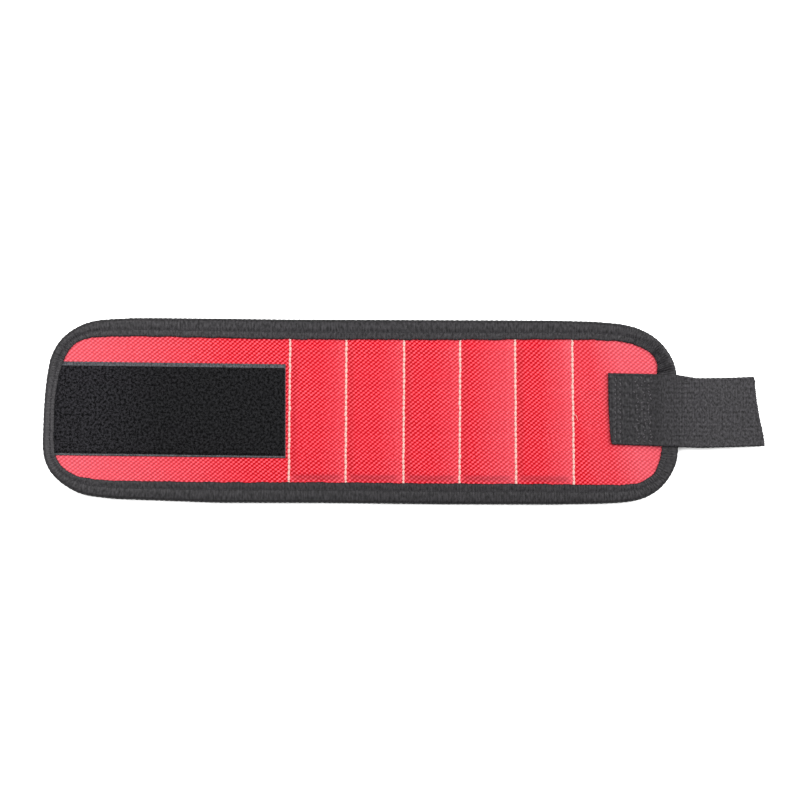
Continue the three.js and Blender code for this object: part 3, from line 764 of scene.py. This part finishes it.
def make_binding():
    """The tape folded round the whole edge, with its ribs, its pleats at the corners and its sewn line."""
    count = len(edge)
    run = np.arange(count) * edge_step
    x, y = edge.T
    lift = 0.42 * ease((24.5 - np.abs(y)) / 3.0) * ease((-160 - x) / 4.0)
    press = ease((20.5 - np.abs(y)) / 3.0) * ease((x - 118) / 4.0)
    stitches = int(round(count * edge_step / BINDING_STITCH))
    pitch = count * edge_step / stitches
    tug = np.cos(math.tau * run / pitch)
    turning = np.roll(edge_inward, -CURVE_REACH, 0) - np.roll(edge_inward, CURVE_REACH, 0)
    turning = np.linalg.norm(turning, axis=1) / (2 * CURVE_REACH * edge_step)
    curve = np.clip(turning * CORNER_RADIUS, 0, 1.2)
    window = np.ones(2 * CURVE_SMOOTHING + 1) / (2 * CURVE_SMOOTHING + 1)
    curve = np.convolve(np.pad(curve, CURVE_SMOOTHING, "wrap"), window, "valid")
    width = edge_width + 0.08 * tug + 0.16 * ripple(run, 0, 6.0, 31)
    width = width + 0.06 * ripple(run, 0, 2.0, 32)
    pull = np.clip(0.45 + 0.75 * ripple(run, 0, 11.0, 37), 0, 1)
    inset, height = binding_section(width, lift, press, tug, pull)
    parts = inset.shape[1]
    outside = np.arange(parts) < OUTER_PLACES
    share = inset / width[:, None]
    fanned = 1 + 7.0 * curve * ease((x - 96) / 12) * ease(y / 8)
    rib_height = 0.025 * fanned * (1 + 0.6 * ripple(run, 0, 2.3, 36))
    ribs = (np.cos(math.tau * np.arange(count) / RIB_STEPS) * rib_height)[:, None]
    pleats = 0.15 * curve[:, None] * (0.35 + 0.65 * share) * ripple(run, 0, 0.7, 33)[:, None]
    swell = 0.07 * ripple(run[:, None], inset * 1.5, 3.2, 34)
    upward = np.where(height > 1.6, 1.0, 0.35) * outside
    off_fold = ease((inset - 0.3) / 1.5)
    height = height + upward * off_fold * (1 - press[:, None] * 0.8) * (ribs + pleats + swell * share)
    height = np.where(height < 1.6, np.maximum(height, 0.0), height)
    at_fold = 1 - ease(inset / BINDING_FOLD)
    scallop = (0.06 * tug + 0.04 * ripple(run, 0, 1.6, 35))[:, None] + 0.3 * ribs
    inset = inset + at_fold * outside * scallop
    points = np.concatenate([edge[:, None] + inset[..., None] * edge_inward[:, None], height[..., None]], -1)

    number = np.arange(count * parts).reshape(count, parts)
    after, beside = np.roll(number, -1, 0), np.roll(number, -1, 1)
    quads = np.stack([number, beside, np.roll(after, -1, 1), after], -1)
    girth = run_along(np.stack([inset[0], height[0]], 1))
    girth_after = np.append(girth[1:], girth[-1] + 0.5)
    corners = (0, girth), (0, girth_after), (edge_step, girth_after), (edge_step, girth)
    spots = [np.broadcast_arrays(run[:, None] + step, side) for step, side in corners]
    places = np.stack([np.stack(spot, -1) for spot in spots], 2)
    line_of = np.searchsorted(CUTS, (x + np.roll(x, -1)) / 2)
    for line in range(len(FLEX_LINES)):
        mine = line_of == line
        starts = np.flatnonzero(mine & ~np.roll(mine, 1))
        ends = (np.flatnonzero(mine & ~np.roll(mine, -1)) + 1) % count
        caps = np.concatenate([number[starts], number[ends][:, ::-1]])
        cap_places = np.broadcast_to(np.stack([girth * 0, girth], -1), (*caps.shape, 2))
        faces = [quads[mine].reshape(-1, 4), caps]
        face_places = [places[mine].reshape(-1, 4, 2), cap_places]
        name = f"binding_{line + 1}"
        piece = make_piece(name, points.reshape(-1, 3), faces, face_places, binding_finish)
        fasten(piece, line, "binding")
    make_binding_stitches(points, run, pitch, stitches)


def make_binding_stitches(points, run, pitch, stitches):
    """Black lockstitches through the binding, above and below."""
    middle = (np.arange(stitches) + 0.5) * pitch
    reach = 0.43 * pitch
    shares = np.linspace(-1, 1, 6)
    thick = taper(shares, 1.02, 4, 0.02)
    total = len(run) * edge_step
    for line in range(len(FLEX_LINES)):
        paths, sides = [], []
        for column, rise in ((UPPER_STITCH, 0.10), (LOWER_STITCH, -0.02)):
            place = (middle[:, None] + reach * shares) % total
            spots = [np.interp(place, run, points[:, column, axis], period=total) for axis in range(3)]
            path = np.stack(spots, -1)
            path[..., 2] += rise - np.sign(rise) * 0.10 * shares**2
            inward = [np.interp(middle, run, edge_inward[:, axis], period=total) for axis in range(2)]
            across = np.stack([*inward, 0 * middle], -1)
            mine = np.searchsorted(CUTS, path[:, 2, 0]) == line
            paths.append(path[mine])
            sides.append(across[mine])
        name, wide, high = f"binding_stitches_{line + 1}", 0.21 * thick, 0.17 * thick
        paths, sides = np.concatenate(paths), np.concatenate(sides)
        fasten(thread_piece(name, paths, sides, wide, high, dark_thread_finish), line)


# Seams


def make_seams():
    """Cream lockstitches, nearly end to end, that part the pockets, above and below."""
    shares = np.linspace(-1, 1, 7)
    for seam in range(len(SEAMS)):
        draw = np.random.default_rng(50 + seam)
        middle = np.arange(-36.4, 36.5, SEAM_STITCH) + SEAM_STITCH / 2
        tilt = draw.normal(0.0, 0.05, len(middle)) + 0.045
        aside = draw.normal(0, 0.05, len(middle))
        y = middle[:, None] + 0.5 * SEAM_STITCH * shares
        x = seam_x(seam, y) + tilt[:, None] * (y - middle[:, None]) + aside[:, None]
        depth, width = from_edge(x, y)
        seen = (depth - width).min(1) > -2.6
        x, y = x[seen], y[seen]
        depth, width = depth[seen], width[seen]
        upper = cloth_height(x, y, depth, width) + 0.22 - 0.10 * shares**4
        lower = 0.36 + 0.1 * shares**4 + 0 * x
        paths = np.concatenate([np.stack([x, y, upper], -1), np.stack([x, y, lower], -1)])
        thick = taper(shares, 1.2, 6, 0.1) * draw.uniform(0.92, 1.08, len(paths))[:, None]
        name, wide, high = f"seam_stitches_{seam + 1}", 0.56 * thick, 0.26 * thick
        piece = thread_piece(name, paths, ALONG, wide, high, seam_finish, 8)
        fasten(piece, seam + FIRST_SEAM)


def make_thread_tail():
    """A loose end of the last seam's thread."""
    share = np.linspace(0, 1, 9)
    x = 82.2 + 2.9 * share + 0.5 * np.sin(share * 5)
    y = -1.6 - 3.0 * share**1.4
    z = 2.75 + 0.55 * np.sin(share * 2.6) + 0.15 * share
    path = np.stack([x, y, z], -1)[None]
    width = 0.17 * (1 - 0.45 * share)
    piece = thread_piece("seam_thread_tail", path, (0, 0, 1), width, width, seam_finish)
    fasten(piece, len(SEAMS) - 1 + FIRST_SEAM)


# Loop pad


def pad_y(x, y):
    """A place on the pad as sewn: a touch askew on the band."""
    return y + PAD_TILT * (PAD_RIGHT - x) - 0.08


def free_of_binding(depth, width):
    """How far the pad stands up: 0 where the binding presses it flat, and 1 clear of it."""
    return ease((depth - width - 0.1) / 1.3)


def pile_surface(x, y):
    """The brushed pile's mean face: worms of loops, lower at its edges and pressed flat at the binding."""
    depth, width = from_edge(x, pad_y(x, y))
    worms = 1 - np.abs(ripple(x, y, 0.98, 61, 9)) * 1.6
    lumps = ripple(x, y, 2.2, 62)
    height = PILE_TOP + 0.17 * worms + 0.10 * lumps - 0.12
    ragged = 0.25 * ripple(x, y, 0.9, 63)
    sides = ease((PAD_HALF_WIDTH - SELVEDGE_WIDTH + 0.1 + ragged - np.abs(y - PILE_SHIFT)) / 1.2)
    end = ease((PAD_RIGHT - x) / 0.7)
    free = free_of_binding(depth, width)
    return PILE_FOOT + (height - PILE_FOOT) * np.minimum(np.minimum(sides, end), 1) * free + 0.12 * (1 - free)


def make_pile():
    """The brushed pile over the tape, on the bodies that the pad lies on."""
    grid_x = np.linspace(PAD_LEFT, PAD_RIGHT, int((PAD_RIGHT - PAD_LEFT) / PILE_STEP) + 1)
    half = PAD_HALF_WIDTH - SELVEDGE_WIDTH + 0.3
    grid_y = np.linspace(-half, half, int(2 * half / PILE_STEP) + 1) + PILE_SHIFT
    x, y = np.meshgrid(grid_x, grid_y)
    faces_z = pile_surface(x, y), 2.75
    y = pad_y(x, y)
    held, places = from_edge(x, y)[0] > PAD_HELD, np.stack([x, y], -1)
    sheet_pieces("loop_pile", x, y, faces_z, held, places, pile_finish, "loop_pad", PAD_LINES)


def make_selvedges():
    """The tape under the pile, which shows as a rolled and ribbed edge along its two sides."""
    side = np.array([0, 0.06, 0.2, 0.4, 0.6, 0.8, 1.0, 1.15, 1.4]) - PAD_HALF_WIDTH
    grid_y = np.concatenate([side, np.linspace(-18, 18, 9), -side[::-1]])
    x, y = np.meshgrid(np.linspace(PAD_LEFT, PAD_RIGHT + 0.3, SELVEDGE_COLUMNS), grid_y)
    from_side = PAD_HALF_WIDTH - np.abs(y)
    depth, width = from_edge(x, pad_y(x, y))
    ribs = 0.05 * np.cos(math.tau * x / SELVEDGE_RIB) * (from_side < 1.2)
    roll = 0.12 * np.exp(-(((from_side - 0.45) / 0.3) ** 2))
    swell = rounded(from_side, 0.3) * (0.75 + 0.25 * free_of_binding(depth, width))
    top = PAD_BOTTOM + 0.12 + (0.36 + roll + ribs) * swell
    y = pad_y(x, y) + 0.07 * np.sign(y) * np.cos(math.pi * x / SELVEDGE_RIB) * (from_side < 0.3)
    faces_z, held, places = (top, PAD_BOTTOM), depth > PAD_HELD, np.stack([x, y], -1)
    sheet_pieces("loop_tape", x, y, faces_z, held, places, selvedge_finish, None, PAD_LINES)


def make_loops():
    """Single loops of yarn that stand out of the pile. They are fewer and coarser than the real ones, which
    are too fine to show."""
    x, y = np.meshgrid(np.arange(PAD_LEFT, PAD_RIGHT - 0.6, LOOP_PITCH), np.arange(-21.0, 20.6, LOOP_PITCH))
    x = (x + rng.uniform(-0.5, 0.5, x.shape)).ravel()
    y = (y + rng.uniform(-0.5, 0.5, y.shape)).ravel()
    depth, width = from_edge(x, pad_y(x, y))
    seen = (depth - width > 0.8) & (x < PAD_RIGHT - 0.6)
    x, y = x[seen], y[seen]
    count = len(x)
    turn, radius = rng.uniform(0, math.pi, count), rng.uniform(0.24, 0.38, count)
    lean = rng.normal(0, 0.5, count)
    base = pile_surface(x, y) - rng.uniform(0.28, 0.4, count)
    angle = np.linspace(-0.25, math.pi + 0.25, 7)
    out = radius[:, None] * np.cos(angle)
    up = radius[:, None] * np.sin(angle)
    path_x = x[:, None] + out * np.cos(turn)[:, None] - up * (np.sin(lean) * np.sin(turn))[:, None]
    path_y = pad_y(x, y)[:, None] + out * np.sin(turn)[:, None] + up * (np.sin(lean) * np.cos(turn))[:, None]
    path_z = base[:, None] + up * np.cos(lean)[:, None]
    paths = np.stack([path_x, path_y, path_z], -1)
    across = np.stack([-np.sin(turn) * np.cos(lean), np.cos(turn) * np.cos(lean), -np.sin(lean)], -1)
    line_of = np.searchsorted(CUTS, x)
    for line in PAD_LINES:
        name, mine = f"yarn_loops_{line + 1}", line_of == line
        piece = thread_piece(name, paths[mine], across[mine], 0.075, 0.075, pile_finish, 4)
        fasten(piece, line)


# Strap


def strap_edges(x):
    """The y of the strap's lower and upper edge: a little wavy, as woven tape lies."""
    upper = np.interp(x, [99, 123, 133, 142, 155, 170, 176], [18.4, 17.9, 17.3, 15.8, 15.9, 16.5, 16.6])
    lower = np.interp(x, [99, 112, 133, 145, 160, 176], [-16.2, -16.7, -17.4, -17.8, -17.4, -16.9])
    return lower, upper


def strap_middle(x):
    """The height of the middle of the strap's thickness."""
    climb = 3.2 + 0.8 * ease((x - 119.5) / 5.5)
    return climb - STRAP_DROOP * ease((x - STRAP_FLEX_X) / (175.0 - STRAP_FLEX_X))


def strap_point(along, across):
    """The x and y for a share of the strap's length and of its width."""
    start, tip = np.interp(across, *STRAP_START), np.interp(across, *STRAP_TIP)
    x = start + (tip - start) * along
    lower, upper = strap_edges(x)
    return x, lower + (upper - lower) * across


def strap_top(x, y):
    """The upper face of the strap: pressed down along its stitch rows, puffed between them."""
    sewn = ease((124.0 - x) / 4.0)
    press = sum(np.exp(-(((x - row) / 0.55) ** 2)) for row in STRAP_ROWS_X)
    swell = 0.08 * ripple(x, y, 3.0, 71) + 0.13 * ripple(x, y, 1.2, 72)
    height = strap_middle(x) + STRAP_HALF_THICKNESS
    height = height + sewn * (swell - 0.14 * np.clip(press, 0, 1))
    loose = ease((x - 126.0) / 6.0)
    strained = 0.02 + 0.05 * ease((x - 124.0) / 6.0) * ease((152.0 - x) / 14.0)
    rows = strained * np.cos(math.tau * y / STRAP_ROW + 0.6 * ripple(x, y, 9.0, 75))
    return height + rows + loose * (0.07 * ripple(x, y * 0.6, 9.0, 73) + 0.04 * ripple(x, y, 1.6, 74))


def make_strap():
    """The strap's tape: ribbed across, with a cord along each edge, and thinner where it is free."""
    side = np.array([0, 0.05, 0.15, 0.3, 0.5, 0.75, 1.05]) / STRAP_WIDTH
    middle = np.linspace(1.5 / STRAP_WIDTH, 1 - 1.5 / STRAP_WIDTH, 56)
    across = np.concatenate([side, middle, 1 - side[::-1]])
    along, across = np.meshgrid(np.linspace(0, 1, STRAP_COLUMNS), across)
    x, y = strap_point(along, across)
    top = strap_top(x, y)
    thickness = 1.4 - 0.45 * ease((x - 124.0) / 6.0)
    from_side = np.minimum(across, 1 - across) * STRAP_WIDTH
    from_end = np.minimum(along, 1 - along) * STRAP_RUN
    bulge = rounded(np.minimum(from_side, from_end), 0.4)
    shrink = thickness / 2 * (1 - 0.25 - 0.75 * bulge)
    ribs = 0.021 * np.cos(math.tau * x / STRAP_RIB) * (1 + 0.8 * ripple(x, y, 1.8, 76)) * bulge
    rim_cord = 0.10 * np.exp(-(((from_side - 0.7) / 0.35) ** 2))
    y = y + 0.06 * np.sign(across - 0.5) * np.cos(math.pi * x / STRAP_RIB) * (from_side < 0.2)
    points = two_faces(x, y, top + ribs + rim_cord - shrink, top - thickness + shrink)
    faces, places = layered_faces(np.ones_like(x[1:, 1:], bool), np.stack([x, y], -1))
    tape = make_piece("strap_tape", points, [faces], [places], strap_finish)
    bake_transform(tape)
    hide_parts("strap_base", "strap_tail")


def make_strap_stitches():
    """Rows of grey thread that sew the strap down: straight rows at its end and a loose zigzag further in."""
    stitches = []
    for row in STRAP_ROWS_X[:2]:
        for y in np.arange(-15.6, 16.4, 2.3):
            lean = rng.normal(0, 0.12)
            stitches.append((row - lean, y, row + lean, y + rng.uniform(1.1, 1.9)))
    for row in STRAP_ROWS_X[2:]:
        for count, y in enumerate(np.arange(-15.4, 16.4, 1.7)):
            swing = (0.55 if count % 2 else -0.55) * rng.uniform(0.0, 1.2)
            middle = row + rng.normal(0, 0.55)
            stitches.append((middle - swing, y + 0.3, middle + swing, y + rng.uniform(1.0, 1.5)))
    ends = np.array(stitches)
    ends += rng.normal(0, 0.14, ends.shape)
    shares = np.linspace(0, 1, 6)
    x = ends[:, :1] + (ends[:, 2:3] - ends[:, :1]) * shares
    y = ends[:, 1:2] + (ends[:, 3:4] - ends[:, 1:2]) * shares
    sunk = 0.2 * np.clip(0.35 + 0.9 * ripple(ends[:, :1], ends[:, 1:2], 3.5, 77), 0, 1)
    z = strap_top(x, y) + 0.13 - 0.13 * (2 * shares - 1) ** 4 - sunk
    paths = np.stack([x, y, z], -1)
    run = paths[:, -1] - paths[:, 0]
    across = np.stack([run[:, 1], -run[:, 0], 0 * run[:, 0]], -1)
    across /= np.linalg.norm(across, axis=1, keepdims=True)
    thick = taper(2 * shares - 1, 1.02, 4, 0.03)
    name, wide, high = "strap_stitches", 0.34 * thick, 0.22 * thick
    piece = thread_piece(name, paths, across, wide, high, strap_thread_finish)
    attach(piece, "strap_panel_2")


def make_hooks():
    """Small bent bristles in rows under the free end of the strap."""
    x, y = np.meshgrid(np.arange(137.6, 173.5, HOOK_PITCH_X), np.arange(-15.8, 15.0, HOOK_PITCH_Y))
    x = x + HOOK_PITCH_X / 2 * (np.round(y / HOOK_PITCH_Y) % 2)
    x, y = x.ravel(), y.ravel()
    tip = np.interp(y, [-17, 2, 16.5], [175.2, 171.5, 170.1])
    lower, upper = strap_edges(x)
    seen = (x < tip - 1.4) & (y > lower + 1.2) & (y < upper - 1.2)
    x, y = x[seen], y[seen]
    facing = np.where(np.round(y / HOOK_PITCH_Y) % 2 == 0, 1.0, -1.0)
    turn = np.array([0, 0, 0.0, 0.35, 0.62, 0.72, 0.55])
    drop = np.array([-0.08, 0.08, 0.19, 0.29, 0.27, 0.17, 0.09])
    path_x = x[:, None] + rng.normal(0, 0.03, x.shape)[:, None] + 0 * turn
    path_y = y[:, None] + facing[:, None] * (turn - 0.3) * 0.55
    path_z = (strap_top(x, y) - 0.95)[:, None] - drop
    paths = np.stack([path_x, path_y, path_z], -1)
    piece = thread_piece("strap_hooks", paths, ALONG, 0.08, 0.08, hook_finish, 5)
    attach(piece, "strap_tail")


def make_frayed_end():
    """Short filaments that stick out of the cut end of the strap."""
    count = FRAYED_ENDS
    across = np.sort(rng.uniform(0.02, 0.98, count))
    x, y = strap_point(np.ones(count), across)
    reach = rng.uniform(0.15, 0.5, count)
    share = np.linspace(0, 1, 5)
    path_x = x[:, None] - 0.5 + (reach[:, None] + 0.5) * share
    path_y = y[:, None] + rng.normal(0, 0.25, count)[:, None] * share**2
    level = strap_top(x - 0.6, y) - rng.uniform(0.25, 0.7, count)
    path_z = level[:, None] + rng.normal(-0.05, 0.12, count)[:, None] * share**2
    paths = np.stack([path_x, path_y, path_z], -1)
    piece = thread_piece("strap_frayed_end", paths, ACROSS, 0.07, 0.06, strap_finish, 5)
    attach(piece, "strap_tail")


make_face_cloth()
make_lining()
make_binding()
make_seams()
make_thread_tail()
make_pile()
make_selvedges()
make_loops()
make_strap()
make_strap_stitches()
make_hooks()
make_frayed_end()

for name, node in frame["nodes"].items():
    if name.startswith("magnet_"):
        for slot in node.material_slots:
            slot.material = magnet_finish
